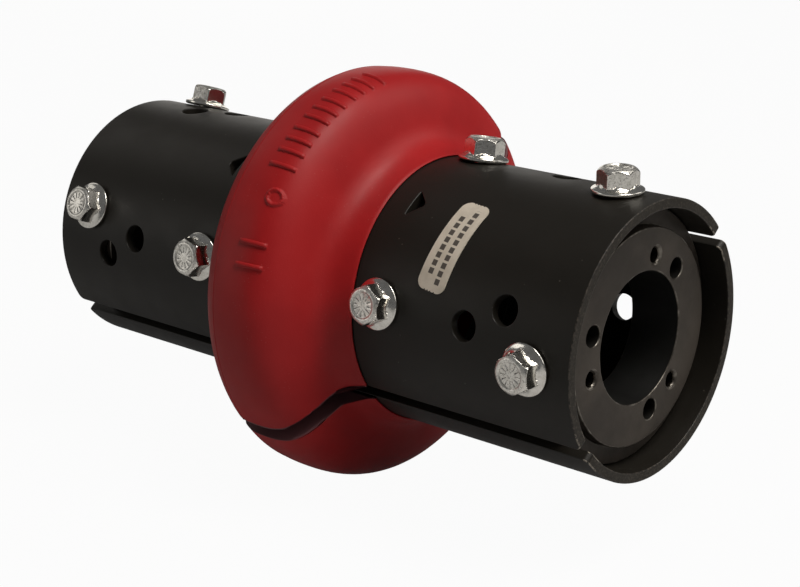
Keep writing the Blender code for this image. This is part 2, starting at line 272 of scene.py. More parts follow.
# Tyre halves
# Each half is one red urethane moulding, bonded over the ends of two shoes. The mould leaves a fine
# flash line on one shoulder. The upper half alone has raised marks: a row of bars, two more and a ring.
SPLIT_ANGLE = math.radians(36.7)
SHOE_OUTER_RADIUS = 0.0367
TYRE_BOND = 0.00005
TYRE_HALF_WIDTH = 0.0152
TYRE_FLANK_RISE = 0.0084
TYRE_FLANK_LEAN = math.radians(15.6)
TYRE_CROWN_PULL = 0.0086
TYRE_SHOULDER_PULL = 0.0120
TYRE_NECK_PULL = 0.0060
TYRE_FOOT_PULL = 0.0055
TYRE_FOOT_SLOPE = math.radians(15.6)
TYRE_LIP = 0.0005
TYRE_ARCH_HALF_WIDTH = 0.0120
TYRE_ARCH_PULL = 0.0065
TYRE_CROWN_WALL = 0.0080
TYRE_SPLIT_GAP = 0.0046
TYRE_EDGE_ROUNDING = 0.0007
TYRE_STEPS = 240
CURVE_STEPS = 16
EDGE_SEGMENTS = 3
CROWN_SHARE = 0.9
FLASH_LINE = -0.0060
FLASH_HALF_WIDTH = 0.0002
FLASH_HEIGHT = 0.00015
BAR_START = 0.0022
BAR_END = 0.0100
BAR_HEIGHT = 0.0005
BAR_SLOPE = 0.00012
BAR_ROW = (97, 138)
BAR_SPACING = 4
LONE_BARS = (159, 165)
BAR_WIDTH = 1.6
RING_MARK_PLACE = 0.0076
RING_MARK_ANGLE = math.radians(146)
RING_MARK_RADIUS = 0.0020
RING_MARK_WIDTH = 0.0011
RING_MARK_CUTS = 3
NORMAL_WEIGHT = 80
WELD = 0.000005
NEAR = 0.00002
URETHANE_DARK = (0.39, 0.011, 0.013)
URETHANE_LIGHT = (0.46, 0.015, 0.017)
URETHANE_DUST = (0.5, 0.15, 0.13)
URETHANE_GAP_SHADE = (0.120, 0.070, 0.078)
tyre_radius = cad_high.z
tyre_foot_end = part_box("upper_tyre_half")[1].x
split_normal = Vector((0, -math.sin(SPLIT_ANGLE), math.cos(SPLIT_ANGLE)))
half_turn = Matrix.Rotation(math.pi, 4, "X")


def outline(name, corners, closed=True):
    """Wire in the XZ plane. Each corner has its place, then its handles where a curve meets it."""
    bpy.ops.curve.primitive_bezier_curve_add()
    drawn = bpy.context.object
    spline = drawn.data.splines[0]
    spline.bezier_points.add(len(corners) - 2)
    spline.use_cyclic_u = closed
    spline.resolution_u = CURVE_STEPS
    for corner, (x, z, *pulls) in zip(spline.bezier_points, corners):
        before, after = pulls or (None, None)
        corner.handle_left_type = "FREE" if before else "VECTOR"
        corner.handle_right_type = "FREE" if after else "VECTOR"
        corner.co = (x, 0, z)
        if before:
            corner.handle_left = (x + before[0], 0, z + before[1])
        if after:
            corner.handle_right = (x + after[0], 0, z + after[1])
    bpy.ops.object.convert(target="MESH")
    drawn.name = drawn.data.name = name
    return drawn


def open_up(piece):
    """Goes into edit mode on one piece, with nothing selected."""
    bpy.ops.object.select_all(action="DESELECT")
    piece.select_set(True)
    bpy.context.view_layer.objects.active = piece
    bpy.ops.object.mode_set(mode="EDIT")
    bpy.ops.mesh.select_all(action="DESELECT")


def close_up():
    bpy.ops.object.mode_set(mode="OBJECT")


def pick(piece, kind, test):
    """Selects the vertices, edges or faces that pass a test, and no others."""
    bpy.ops.mesh.select_mode(type=kind)
    bpy.ops.mesh.select_all(action="DESELECT")
    work = bmesh.from_edit_mesh(piece.data)
    for part in {"VERT": work.verts, "EDGE": work.edges, "FACE": work.faces}[kind]:
        if test(part):
            part.select_set(True)
    bmesh.update_edit_mesh(piece.data)


def weld():
    bpy.ops.mesh.select_all(action="SELECT")
    bpy.ops.mesh.remove_doubles(threshold=WELD)


def face_out():
    """Merges doubles and turns every face outwards."""
    weld()
    bpy.ops.mesh.normals_make_consistent(inside=False)


def settle(piece, place):
    """Moves a piece in its mesh, so that its object stays at the origin."""
    piece.data.transform(place)


def apply(piece, kind, **settings):
    """Adds one modifier to a piece and applies it."""
    modifier = piece.modifiers.new(kind.title(), kind)
    for key, value in settings.items():
        setattr(modifier, key, value)
    bpy.context.view_layer.objects.active = piece
    bpy.ops.object.modifier_apply(modifier=modifier.name)


def name_new(name):
    """Names the primitive that was just added, and puts its place into its mesh."""
    piece = bpy.context.object
    piece.name = piece.data.name = name
    bpy.ops.object.transform_apply(location=True, rotation=True, scale=True)
    return piece


def join(piece, tool, operation="UNION", **settings):
    """Joins or cuts one solid with another, which is used up."""
    apply(piece, "BOOLEAN", object=tool, operation=operation, solver="EXACT", **settings)
    bpy.data.objects.remove(tool)


def copy_of(piece, name):
    twin = piece.copy()
    twin.data = piece.data.copy()
    twin.name = twin.data.name = name
    bpy.context.scene.collection.objects.link(twin)
    return twin


def smooth(piece):
    piece.data.shade_smooth()
    apply(piece, "WEIGHTED_NORMAL", keep_sharp=False, weight=NORMAL_WEIGHT)


def dress(piece, node):
    """Fixes a finished piece to the frame, in place of its solid."""
    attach(piece, "root")
    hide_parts(node)


def give(piece, *materials):
    piece.data.materials.clear()
    for material in materials:
        piece.data.materials.append(material)


def radial_place(x, angle, radius):
    """Stands a shape's Z axis out from the shaft axis, with its X axis along the shaft."""
    upright = Matrix.Rotation(angle - math.pi / 2, 4, "X")
    return Matrix.Translation((x, 0, 0)) @ upright @ Matrix.Translation((0, 0, radius))


def tyre_section(name):
    """Outline of the tyre: crown, leaning flank, hollow neck, thin foot, and the arch inside."""
    bottom = SHOE_OUTER_RADIUS + TYRE_BOND
    down = (math.sin(TYRE_FLANK_LEAN), -math.cos(TYRE_FLANK_LEAN))
    up = (-math.cos(TYRE_FOOT_SLOPE), math.sin(TYRE_FOOT_SLOPE))
    flank = (TYRE_HALF_WIDTH, SHOE_OUTER_RADIUS + TYRE_FLANK_RISE)
    shoulder_pull = (-down[0] * TYRE_SHOULDER_PULL, -down[1] * TYRE_SHOULDER_PULL)
    neck_pull = (down[0] * TYRE_NECK_PULL, down[1] * TYRE_NECK_PULL)
    foot_pull = (up[0] * TYRE_FOOT_PULL, up[1] * TYRE_FOOT_PULL)
    right = [
        (*flank, shoulder_pull, neck_pull),
        (tyre_foot_end, bottom + TYRE_LIP, foot_pull, None),
        (tyre_foot_end, bottom, None, None),
        (TYRE_ARCH_HALF_WIDTH, bottom, None, (0, TYRE_ARCH_PULL)),
    ]
    left = []
    for x, z, before, after in reversed(right):
        before, after = (pull and (-pull[0], pull[1]) for pull in (after, before))
        left.append((-x, z, before, after))
    crown = (0, tyre_radius, (-TYRE_CROWN_PULL, 0), (TYRE_CROWN_PULL, 0))
    vault = (0, tyre_radius - TYRE_CROWN_WALL, (TYRE_ARCH_PULL, 0), (-TYRE_ARCH_PULL, 0))
    return outline(name, [crown, *right, vault, *left])


def is_crown(face):
    """True for the faces of the tyre's crown, and not for those of the arch inside."""
    return face.calc_center_median().yz.length > tyre_radius - TYRE_CROWN_WALL / 2


def is_flash(corner):
    """True for the vertices that run along the flash line."""
    return abs(corner.co.x - FLASH_LINE) < NEAR and corner.co.yz.length > tyre_radius * CROWN_SHARE


def is_cut_edge(edge):
    """True for the edges round the faces that the split leaves."""
    return all(abs(end.co @ split_normal - TYRE_SPLIT_GAP / 2) < NEAR for end in edge.verts)


def is_marked(face):
    """True for the faces of the tyre's outer side that the raised bars stand on."""
    middle = face.calc_center_median()
    angle = math.degrees(math.atan2(middle.z, middle.y))
    if math.hypot(middle.y, middle.z) < SHOE_OUTER_RADIUS + TYRE_FLANK_RISE:
        return False
    if not BAR_START < middle.x < BAR_END or face.normal.x < 0:
        return False
    lines = [*range(*BAR_ROW, BAR_SPACING), *LONE_BARS]
    return any(abs(angle - line) < BAR_WIDTH / 2 for line in lines)


def ring_mark_distance(corner):
    """How far a vertex of the tyre's outer side is from the ring mark's middle."""
    angle = math.atan2(corner.co.z, corner.co.y) - RING_MARK_ANGLE
    if corner.co.yz.length < SHOE_OUTER_RADIUS + TYRE_FLANK_RISE:
        return tyre_radius
    return math.hypot(corner.co.x - RING_MARK_PLACE, angle * corner.co.yz.length)


def is_near_ring_mark(face):
    """True for the faces that the ring mark is raised from."""
    return all(ring_mark_distance(corner) < 2 * RING_MARK_RADIUS for corner in face.verts)


upper_tyre = tyre_section("upper_tyre")
open_up(upper_tyre)
weld()
bpy.ops.mesh.edge_face_add()
bpy.ops.mesh.spin(steps=TYRE_STEPS, angle=math.pi, center=(0, 0, 0), axis=(1, 0, 0))
face_out()
close_up()
turned_low = min(corner.co.y for corner in upper_tyre.data.vertices) < -tyre_radius / 2
turn = SPLIT_ANGLE + (-math.pi / 2 if turned_low else math.pi / 2)
settle(upper_tyre, Matrix.Rotation(turn, 4, "X"))

open_up(upper_tyre)
for shift in (-FLASH_HALF_WIDTH, 0, FLASH_HALF_WIDTH):
    pick(upper_tyre, "FACE", is_crown)
    bpy.ops.mesh.bisect(plane_co=(FLASH_LINE + shift, 0, 0), plane_no=(1, 0, 0))
pick(upper_tyre, "VERT", is_flash)
lift = 1 + FLASH_HEIGHT / tyre_radius
bpy.ops.transform.resize(value=(1, lift, lift), center_override=(0, 0, 0))
bpy.ops.mesh.select_all(action="SELECT")
bpy.ops.mesh.bisect(
    plane_co=split_normal * TYRE_SPLIT_GAP / 2, plane_no=split_normal, use_fill=True, clear_inner=True
)
pick(upper_tyre, "EDGE", is_cut_edge)
bpy.ops.mesh.bevel(offset=TYRE_EDGE_ROUNDING, segments=EDGE_SEGMENTS, affect="EDGES")
face_out()
close_up()
lower_tyre = copy_of(upper_tyre, "lower_tyre")
settle(lower_tyre, half_turn)

open_up(upper_tyre)
pick(upper_tyre, "FACE", is_marked)
bpy.ops.mesh.inset(thickness=BAR_SLOPE, depth=0)
bpy.ops.mesh.inset(thickness=BAR_SLOPE, depth=BAR_HEIGHT)
pick(upper_tyre, "FACE", is_near_ring_mark)
bpy.ops.mesh.subdivide(number_cuts=RING_MARK_CUTS, smoothness=1.0)
for half_width in (RING_MARK_WIDTH / 2, RING_MARK_WIDTH / 4):
    pick(upper_tyre, "VERT", lambda corner: abs(ring_mark_distance(corner) - RING_MARK_RADIUS) < half_width)
    bpy.ops.transform.shrink_fatten(value=BAR_HEIGHT / 2)
close_up()
smooth(upper_tyre)
smooth(lower_tyre)

urethane = Finish("moulded_urethane")
clouds = urethane.noise(30, detail=4, rough=0.6)
grain = urethane.noise(2600, detail=2, rough=0.6)
dust = urethane.specks(900, 0.10) * urethane.noise(70).over(0.56, 0.05)
# The faces at the split are painted a dark grey-red: painted shade, for the narrow gap between the halves.
cut_face_shade = urethane.split_distance().under(TYRE_SPLIT_GAP / 2 + 0.0002, 0.0006)
red = urethane.mix(clouds.over(0.35, 0.3), URETHANE_DARK, URETHANE_LIGHT)
red = urethane.mix(dust * 0.3, red, URETHANE_DUST)
red = urethane.mix(cut_face_shade * 0.9, red, URETHANE_GAP_SHADE)
soft_bumps = urethane.bump(clouds, distance=0.0006, strength=0.35)
urethane.surface(
    Base_Color=red,
    Roughness=0.38 + 0.16 * urethane.noise(140),
    Normal=urethane.bump(grain, distance=0.00006, strength=0.6, under=soft_bumps),
    Specular_IOR_Level=0.3,
)
give(upper_tyre, urethane.material)
give(lower_tyre, urethane.material)
dress(upper_tyre, "upper_tyre_half")
dress(lower_tyre, "lower_tyre_half")

# Shoes
# The shoes are steel blanks, sheared from 12 gauge sheet, punched flat with their screw holes, spare
# holes and one small triangle, rolled into half tubes and painted black. The paint is worn at the ends.
# Their end faces are painted lighter: partly bare steel, and partly painted light for the light on the
# ends.
SHEET = 0.0027
SHOE_SPLIT_GAP = 0.0041
SHOE_CORNER_RADIUS = 0.0016
SHOE_RIM = 0.0003
HOLE_RADIUS = 0.0038
RING_ROW = 0.0335
SPARE_ROW_IN = 0.0616
SPARE_ROW_OUT = 0.0733
HUB_ROW = 0.0817
LINE_COUNT = 4
LINE_TURN = math.pi / 2
FIRST_LINE = SPLIT_ANGLE + math.radians(44)
STAGGER = math.radians(10)
PUNCH_SIDES = 40
WINDOW_BASE = 0.0322
WINDOW_LENGTH = 0.0045
WINDOW_HALF_WIDTH = 0.0040
WINDOW_TIP = 0.0014
WINDOW_CORNER = 0.0004
WINDOW_SEGMENTS = 6
CORNER_SEGMENTS = 8
SHARP_ANGLE = math.radians(50)
ROLL_STRIPS = 64
LENGTH_STRIPS = 18
PAINT_DARK = (0.0090, 0.0078, 0.0058)
PAINT_LIGHT = (0.0165, 0.0140, 0.0108)
PAINT_CHIP = (0.12, 0.11, 0.095)
BARE_AND_LIT_END_DARK = (0.020, 0.017, 0.013)
BARE_AND_LIT_END_LIGHT = (0.066, 0.056, 0.045)
RIM_DARK = (0.012, 0.011, 0.009)
RIM_LIGHT = (0.070, 0.058, 0.048)
RIM_BARE = (0.30, 0.27, 0.23)
shoe_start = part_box("upper_front_shoe")[0].x
shoe_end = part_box("upper_front_shoe")[1].x
roll_radius = SHOE_OUTER_RADIUS - SHEET / 2
half_arc = roll_radius * math.pi / 2 - SHOE_SPLIT_GAP / 2
middle_angle = SPLIT_ANGLE + math.pi / 2
pattern_turn = FIRST_LINE + LINE_TURN / 2 - middle_angle


def roll(piece, radius, angle):
    """Bends a flat blank round the shaft. Its outer face, on -Y, has its middle at an angle."""
    heights = [corner.co.z for corner in piece.data.vertices]
    bend = (max(heights) - min(heights)) / radius
    apply(piece, "SIMPLE_DEFORM", deform_method="BEND", deform_axis="X", angle=bend)
    settle(piece, Matrix.Rotation(angle - math.pi, 4, "X") @ Matrix.Translation((0, -radius, 0)))


def slice_up(axis, start, stop, count):
    """Adds evenly spaced edge loops across a flat blank, for it to bend at."""
    normal = Vector([float(i == axis) for i in range(3)])
    for i in range(1, count):
        bpy.ops.mesh.select_all(action="SELECT")
        bpy.ops.mesh.bisect(plane_co=normal * (start + (stop - start) * i / count), plane_no=normal)


def is_corner(edge, x):
    """True for an edge through the blank's thickness, at one end of it."""
    first, second = (end.co for end in edge.verts)
    return abs(first.y - second.y) > SHEET / 2 and abs(first.x - x) < NEAR


def is_window_corner(edge, x, at_tip):
    """True for the window punch's edge at its tip, or else for those at its base."""
    first, second = (end.co for end in edge.verts)
    if abs(first.y - second.y) < SHEET:
        return False
    beyond = (first.x - x) * math.copysign(1, x)
    return beyond > WINDOW_LENGTH / 2 if at_tip else beyond < -WINDOW_LENGTH / 4


def punch(blank, x, turn, radius, sides=PUNCH_SIDES, scale=(1, 1, 1), spin=0.0, rounding=()):
    """Cuts one hole through a flat blank. Rounding is for a window's tip, then for its other corners."""
    bpy.ops.mesh.primitive_cylinder_add(
        vertices=sides,
        radius=radius,
        depth=3 * SHEET,
        location=(x, 0, -roll_radius * turn),
        rotation=(math.pi / 2, spin, 0),
        scale=scale,
    )
    tool = name_new("punch")
    if rounding:
        open_up(tool)
        for offset, at_tip in zip(rounding, (True, False)):
            pick(tool, "EDGE", lambda edge: is_window_corner(edge, x, at_tip))
            bpy.ops.mesh.bevel(offset=offset, segments=WINDOW_SEGMENTS, affect="EDGES")
        close_up()
    join(blank, tool, "DIFFERENCE")


def round_sharp(offset, angle=SHARP_ANGLE, segments=EDGE_SEGMENTS, **settings):
    """Rounds off every edge that turns by more than an angle."""
    bpy.ops.mesh.select_mode(type="EDGE")
    bpy.ops.mesh.edges_select_sharp(sharpness=angle)
    bpy.ops.mesh.bevel(offset=offset, segments=segments, affect="EDGES", **settings)


def shell(name, end):
    """Upper shoe of one end, cut flat and rolled. The end is 1 for the front and -1 for the rear."""
    bpy.ops.mesh.primitive_cube_add(
        size=1,
        location=(end * (shoe_start + shoe_end) / 2, 0, 0),
        scale=(shoe_end - shoe_start, SHEET, 2 * half_arc),
    )
    blank = name_new(name)
    give(blank, paint.material, rim_wear.material)
    open_up(blank)
    pick(blank, "EDGE", lambda edge: is_corner(edge, end * shoe_end))
    bpy.ops.mesh.bevel(offset=SHOE_CORNER_RADIUS, segments=CORNER_SEGMENTS, affect="EDGES")
    close_up()
    for x, lean in ((RING_ROW, 0), (SPARE_ROW_IN, 0), (SPARE_ROW_OUT, -STAGGER), (HUB_ROW, STAGGER)):
        for side in (-LINE_TURN / 2, LINE_TURN / 2):
            punch(blank, end * x, pattern_turn + side + end * lean, HOLE_RADIUS)
    punch(
        blank,
        end * (WINDOW_BASE + WINDOW_LENGTH / 3),
        pattern_turn,
        radius=1,
        sides=3,
        scale=(2 * WINDOW_HALF_WIDTH / math.sqrt(3), WINDOW_LENGTH / 1.5, 1),
        spin=end * math.pi / 2,
        rounding=(WINDOW_TIP, WINDOW_CORNER),
    )
    open_up(blank)
    round_sharp(SHOE_RIM, material=1)
    slice_up(2, -half_arc, half_arc, ROLL_STRIPS)
    slice_up(0, end * shoe_start, end * shoe_end, LENGTH_STRIPS)
    face_out()
    close_up()
    roll(blank, roll_radius, middle_angle)
    smooth(blank)
    return blank


paint = Finish("black_paint")
reach = paint.along(0).size()
sheared = reach.over(shoe_end - 0.00012, 0.0001)
haze = paint.noise(24, detail=4, rough=0.6)
chips = paint.specks(420, 0.07) * paint.noise(90).over(0.60, 0.04)
shear_marks = paint.noise(1500, rough=0.7)
black = paint.mix(haze, PAINT_DARK, PAINT_LIGHT)
black = paint.mix(chips * 0.5, black, PAINT_CHIP)
# The end faces are painted lighter brown-grey: partly bare sheared steel, and partly painted light for the
# light falling on the ends.
bare_and_lit_end = paint.mix(shear_marks.over(0.45, 0.3), BARE_AND_LIT_END_DARK, BARE_AND_LIT_END_LIGHT)
shear_bumps = paint.bump(shear_marks * sheared, distance=0.00008, strength=0.5)
paint.surface(
    Base_Color=paint.mix(sheared, black, bare_and_lit_end),
    Roughness=0.36 + 0.16 * paint.noise(120) + 0.12 * sheared,
    Normal=paint.bump(paint.noise(1900, detail=2), distance=0.00003, strength=0.5, under=shear_bumps),
    Specular_IOR_Level=0.30,
)

rim_wear = Finish("worn_rim")
at_end = rim_wear.along(0).size().over(shoe_end - 0.0020, 0.001)
at_corner = at_end * rim_wear.split_distance().under(0.006, 0.003)
wear = rim_wear.noise(1100, detail=4, rough=0.7)
rim = rim_wear.mix(at_end * wear.over(0.42, 0.2), RIM_DARK, RIM_LIGHT)
scuffs = (wear + 0.24 * at_corner).over(0.66, 0.08)
rim_wear.surface(
    Base_Color=rim_wear.mix(scuffs, rim, RIM_BARE),
    Roughness=0.42,
    Metallic=0.5 * scuffs,
    Specular_IOR_Level=0.35,
)

for end_name, end in (("front", 1), ("rear", -1)):
    upper_shell = shell(f"upper_{end_name}_shell", end)
    lower_shell = copy_of(upper_shell, f"lower_{end_name}_shell")
    settle(lower_shell, half_turn)
    dress(upper_shell, f"upper_{end_name}_shoe")
    dress(lower_shell, f"lower_{end_name}_shoe")

# Hubs
# Each hub is an iron disc, turned all over and blackened, with a taper bore for a split bushing.
# Its face has three plain and three tapped holes for the bushing, and its rim four tapped ones.
# The bore and the drilled holes are painted near black: painted shade, for the dark inside them.
HUB_BORE_RADIUS = 0.01735
HUB_BORE_TAPER = 0.0005
HUB_RADIUS = 0.0337
HUB_NOSE_RADIUS = 0.0286
HUB_EDGE = 0.00035
BOLT_CIRCLE_RADIUS = 0.0214
BUSHING_HOLES = 3
PLAIN_HOLE_RADIUS = 0.00275
TAPPED_HOLE_RADIUS = 0.0024
PLAIN_HOLE_ANGLE = math.radians(45)
TAPPED_HOLE_ANGLE = math.radians(75)
COUNTERSINK = 0.00035
BUSHING_THREAD_PITCH = 0.0014
THREAD_DEPTH = 0.0007
SCREW_HOLE_RADIUS = 0.0034
SCREW_HOLE_BOTTOM = 0.0235
BIT_SIDES = 32
BIT_START = 0.001
PLAIN_BIT_LENGTH = 0.02
TAP_LENGTH = 0.018
TAP_DEPTH = 0.0178
THREAD_STEPS = 20
SPARE_TURNS = 2
RUN_IN_TURNS = 1.5
HUB_SHOULDER = 0.0033
HUB_STEPS = 126
HOLE_SHADE = (0.010, 0.009, 0.0075)
BORE_SHADE = (0.004, 0.004, 0.0035)
IRON_DARK = (0.036, 0.029, 0.023)
IRON_LIGHT = (0.070, 0.058, 0.047)
RUBBED_DARK = (0.08, 0.07, 0.06)
RUBBED_BRIGHT = (0.26, 0.24, 0.21)
CUT_METAL = (0.16, 0.145, 0.12)
hub_back, hub_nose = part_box("front_hub")[0].x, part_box("front_hub")[1].x
hub_rim = hub_nose - HUB_SHOULDER
bushing_steps = [2 * math.pi * i / BUSHING_HOLES for i in range(BUSHING_HOLES)]
first_line_axis = Vector((0, math.cos(FIRST_LINE), math.sin(FIRST_LINE)))
end_for_end = Matrix.Rotation(math.pi, 4, first_line_axis)


def lathe(name, corners, steps, axis=(1, 0, 0), closed=True):
    """Solid turned from a wire in the XZ plane. An open wire starts and ends on the axis."""
    piece = outline(name, corners, closed)
    open_up(piece)
    weld()
    bpy.ops.mesh.spin(steps=steps, angle=2 * math.pi, center=(0, 0, 0), axis=axis)
    face_out()
    close_up()
    return piece


def threaded_rod(name, crest, depth, pitch, length):
    """Rod with one V thread, standing on the origin along Z."""
    rod = outline(name, [(crest - depth, 0), (crest, pitch / 2), (crest - depth, pitch)], closed=False)
    open_up(rod)
    bpy.ops.mesh.select_all(action="SELECT")
    turns = math.ceil(length / pitch) + SPARE_TURNS
    bpy.ops.mesh.screw(steps=THREAD_STEPS, turns=turns, center=(0, 0, 0), axis=(0, 0, 1))
    weld()
    heights = [corner.co.z for corner in bmesh.from_edit_mesh(rod.data).verts]
    start = min(heights) + RUN_IN_TURNS * pitch
    for height, side in ((start, "clear_inner"), (start + length, "clear_outer")):
        bpy.ops.mesh.select_all(action="SELECT")
        bpy.ops.mesh.bisect(plane_co=(0, 0, height), plane_no=(0, 0, 1), use_fill=True, **{side: True})
    face_out()
    close_up()
    settle(rod, Matrix.Translation((0, 0, -start)))
    return rod


def drill(piece, radius, depth, place):
    """Drills a round hole down from a place's origin, against its Z axis."""
    middle = (0, 0, -depth / 2)
    bpy.ops.mesh.primitive_cylinder_add(vertices=BIT_SIDES, radius=radius, depth=depth, location=middle)
    bit = name_new("bit")
    # The bit leaves the painted hole shade on the hole's walls.
    give(bit, hole_shade.material)
    settle(bit, place)
    join(piece, bit, "DIFFERENCE", material_mode="TRANSFER")


def face_place(angle):
    """Stands a shape's Z axis out of the hub's face, on the bolt circle."""
    y, z = BOLT_CIRCLE_RADIUS * math.cos(angle), BOLT_CIRCLE_RADIUS * math.sin(angle)
    return Matrix.Translation((hub_nose, y, z)) @ Matrix.Rotation(math.pi / 2, 4, "Y")


def countersink(piece, radius, place):
    """Breaks the edge of a hole's mouth with a cone, before the hole is drilled."""
    size = radius + 2 * COUNTERSINK
    middle = (0, 0, -radius / 2)
    bpy.ops.mesh.primitive_cone_add(
        vertices=BIT_SIDES, radius1=0, radius2=size, depth=size, location=middle
    )
    cone = name_new("cone")
    give(cone, bright_iron.material)
    settle(cone, place)
    join(piece, cone, "DIFFERENCE", material_mode="TRANSFER")


# The walls of the drilled holes are painted near black: painted shade, for the dark inside the holes.
hole_shade = Finish("painted_hole_shade")
hole_shade.surface(Base_Color=HOLE_SHADE, Roughness=0.5, Metallic=0.3)

iron = Finish("blackened_iron_with_bore_shade")
from_axis = iron.radius()
in_rings = {"noise_dimensions": "1D"}
tool_marks = iron.node("ShaderNodeTexNoise", in_rings, W=from_axis, Scale=5200.0, Detail=2.0)
stains = iron.noise(60, detail=4, rough=0.6)
# The bore is painted near black and made less metallic: painted shade, for the dark inside the bore.
in_bore = from_axis.under(HUB_BORE_RADIUS, 0.0002)
turned = iron.mix(stains.over(0.3, 0.4), IRON_DARK, IRON_LIGHT)
cast_bumps = iron.bump(iron.noise(1300), distance=0.00004, strength=0.4)
iron.surface(
    Base_Color=iron.mix(in_bore, turned, BORE_SHADE),
    Roughness=0.42 + 0.14 * iron.noise(300),
    Metallic=0.35 * (1 - in_bore),
    Normal=iron.bump(tool_marks, distance=0.00003, strength=0.5, under=cast_bumps),
)

bright_iron = Finish("rubbed_edge")
rubbed = bright_iron.noise(300, rough=0.6).over(0.40, 0.3)
rubbed = bright_iron.mix(rubbed, RUBBED_DARK, RUBBED_BRIGHT)
bright_iron.surface(Base_Color=rubbed, Roughness=0.35, Metallic=0.8)

cut_thread = Finish("cut_thread")
cut_thread.surface(Base_Color=CUT_METAL, Roughness=0.25, Metallic=1.0)

front_disc = lathe(
    "front_disc",
    [
        (hub_nose, HUB_BORE_RADIUS),
        (hub_nose, HUB_NOSE_RADIUS),
        (hub_rim, HUB_NOSE_RADIUS),
        (hub_rim, HUB_RADIUS),
        (hub_back, HUB_RADIUS),
        (hub_back, HUB_BORE_RADIUS - HUB_BORE_TAPER),
    ],
    HUB_STEPS,
)
give(front_disc, iron.material, bright_iron.material)
open_up(front_disc)
round_sharp(HUB_EDGE, material=1)
face_out()
close_up()
for line in range(LINE_COUNT):
    angle = FIRST_LINE + STAGGER + line * LINE_TURN
    rim_hole = radial_place(HUB_ROW, angle, HUB_RADIUS + BIT_START)
    drill(front_disc, SCREW_HOLE_RADIUS, HUB_RADIUS + BIT_START - SCREW_HOLE_BOTTOM, rim_hole)
for step in bushing_steps:
    plain_place = face_place(PLAIN_HOLE_ANGLE + step)
    bit_place = plain_place @ Matrix.Translation((0, 0, BIT_START))
    tapped_place = face_place(TAPPED_HOLE_ANGLE + step)
    countersink(front_disc, PLAIN_HOLE_RADIUS, plain_place)
    drill(front_disc, PLAIN_HOLE_RADIUS, PLAIN_BIT_LENGTH, bit_place)
    countersink(front_disc, TAPPED_HOLE_RADIUS, tapped_place)
    tap = threaded_rod("tap", TAPPED_HOLE_RADIUS, THREAD_DEPTH, BUSHING_THREAD_PITCH, TAP_LENGTH)
    give(tap, cut_thread.material)
    settle(tap, tapped_place @ Matrix.Translation((0, 0, -TAP_DEPTH)))
    join(front_disc, tap, "DIFFERENCE", material_mode="TRANSFER")
open_up(front_disc)
face_out()
close_up()
smooth(front_disc)
rear_disc = copy_of(front_disc, "rear_disc")
settle(rear_disc, end_for_end)
dress(front_disc, "front_hub")
dress(rear_disc, "rear_hub")

# Inner rings
# A steel ring is held inside the shoes on each side of the tyre, by three screws. It is cut from tube,
# drilled and tapped, and painted with the shoes. Its fourth hole stays empty.
RING_WIDTH = 0.0110
RING_INNER_RADIUS = 0.0262
RING_EDGE = 0.0005
RING_BIT_OVERRUN = 0.003

front_band = lathe(
    "front_band",
    [
        (RING_ROW + RING_WIDTH / 2, RING_INNER_RADIUS),
        (RING_ROW + RING_WIDTH / 2, HUB_RADIUS),
        (RING_ROW - RING_WIDTH / 2, HUB_RADIUS),
        (RING_ROW - RING_WIDTH / 2, RING_INNER_RADIUS),
    ],
    HUB_STEPS,
)
give(front_band, paint.material, rim_wear.material)
for line in range(LINE_COUNT):
    band_hole = radial_place(RING_ROW, FIRST_LINE + line * LINE_TURN, HUB_RADIUS + BIT_START)
    drill(front_band, SCREW_HOLE_RADIUS, HUB_RADIUS - RING_INNER_RADIUS + RING_BIT_OVERRUN, band_hole)
open_up(front_band)
round_sharp(RING_EDGE, material=1)
face_out()
close_up()
smooth(front_band)
rear_band = copy_of(front_band, "rear_band")
settle(rear_band, end_for_end)
dress(front_band, "front_inner_ring")
dress(rear_band, "rear_inner_ring")

# Screws
# Twelve hex flange screws, cold formed and bright zinc plated. The head is domed at its corners, and
# its top has a sunk disc with plain radial ticks.
ACROSS_FLATS = 0.0095
HEAD_HEIGHT = 0.0064
HEAD_TOP_RADIUS = 0.0039
HEAD_DOME_DROP = 0.0024
HEAD_STEPS = 72
HEAD_SHARP_ANGLE = math.radians(28)
DOME_BASE = -0.001
DOME_MARGIN = 0.0005
DOME_SIDE_PULL = (-0.0001, 0.0007)
DOME_TOP_PULL = (0.0008, 0)
FLANGE_RADIUS = 0.0068
FLANGE_RIM = 0.0009
FLANGE_CONE = 0.0016
FLANGE_BREAK = 0.0003
FLANGE_SHOULDER = (0.0004, 0.0002)
FLANGE_SHOULDER_PULL = (-0.0008, 0.0003)
FLANGE_TUCK = 0.0008
FLANGE_TUCK_PULL = (0.0002, -0.0006)
DISC_RADIUS = 0.0033
DISC_DEPTH = 0.00025
DISC_SIDES = 48
DISC_CUTTER = 0.002
TICKS = 12
TICK_MIDDLE = 0.0022
TICK_SIZE = (0.0016, 0.00032, 0.0008)
SEAT_CLEARANCE = 0.0001
SCREW_RADIUS = 0.0031
SCREW_LENGTH = 0.0127
SCREW_PITCH = 0.00127
SCREW_THREAD_DEPTH = 0.0006
SHANK_OVERLAP = 0.0002
HEAD_EDGE = 0.00014
HEAD_EDGE_SEGMENTS = 2
SCREW_LINES = (0, 1, 3)
ZINC_LIGHT = (0.95, 0.93, 0.88)
ZINC_DULL = (0.80, 0.78, 0.72)
ZINC_STAIN_AND_DARK_REFLECTION = (0.20, 0.19, 0.17)
screw_seat = SHOE_OUTER_RADIUS + SEAT_CLEARANCE
corner_radius = ACROSS_FLATS / math.sqrt(3)
cone_top = FLANGE_RIM + FLANGE_CONE

